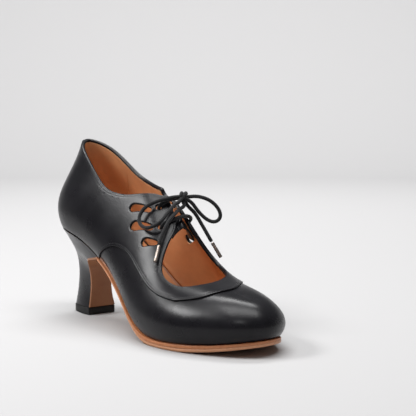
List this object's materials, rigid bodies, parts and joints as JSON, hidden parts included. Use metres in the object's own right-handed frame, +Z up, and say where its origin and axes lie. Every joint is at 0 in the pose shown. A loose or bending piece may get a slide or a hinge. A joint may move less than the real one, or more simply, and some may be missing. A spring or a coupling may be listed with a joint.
{
  "type": "lace up heel",
  "caption": "High heeled ankle shoe in leather with side slots, an open keyhole over the instep, round laces tied in a bow and a flared block heel.",
  "frame": {"origin": "on the floor, on the bottom face of the heel's top lift, in the middle of its width", "axes": "+X to the toe, +Y to the inner side of the foot, +Z up"},
  "size_m": [0.2383, 0.0857, 0.1392],
  "materials": {
    "black_leather": "semi gloss, smooth grain",
    "tan_leather": "matt lining leather",
    "sole_leather": "waxed sole leather",
    "lift_rubber": "matt",
    "lace_cotton": "braided, matt",
    "aglet_metal": "polished, nickel plated"
  },
  "bodies": {
    "root": {"upper": "black_leather", "quarter": "black_leather", "insole": "tan_leather", "outsole": "sole_leather", "heel_block": "black_leather", "breast_cover": "sole_leather", "top_lift": "lift_rubber", "bridge_strap": "black_leather", "back_tab": "black_leather", "lace_bar_upper": "lace_cotton", "lace_bar_lower": "lace_cotton", "lace_knot": "lace_cotton", "lace_loop_outer": "lace_cotton", "lace_loop_inner": "lace_cotton", "lace_end_outer": "lace_cotton", "lace_end_inner": "lace_cotton", "aglet_outer": "aglet_metal", "aglet_inner": "aglet_metal"}
  },
  "joints": []
}
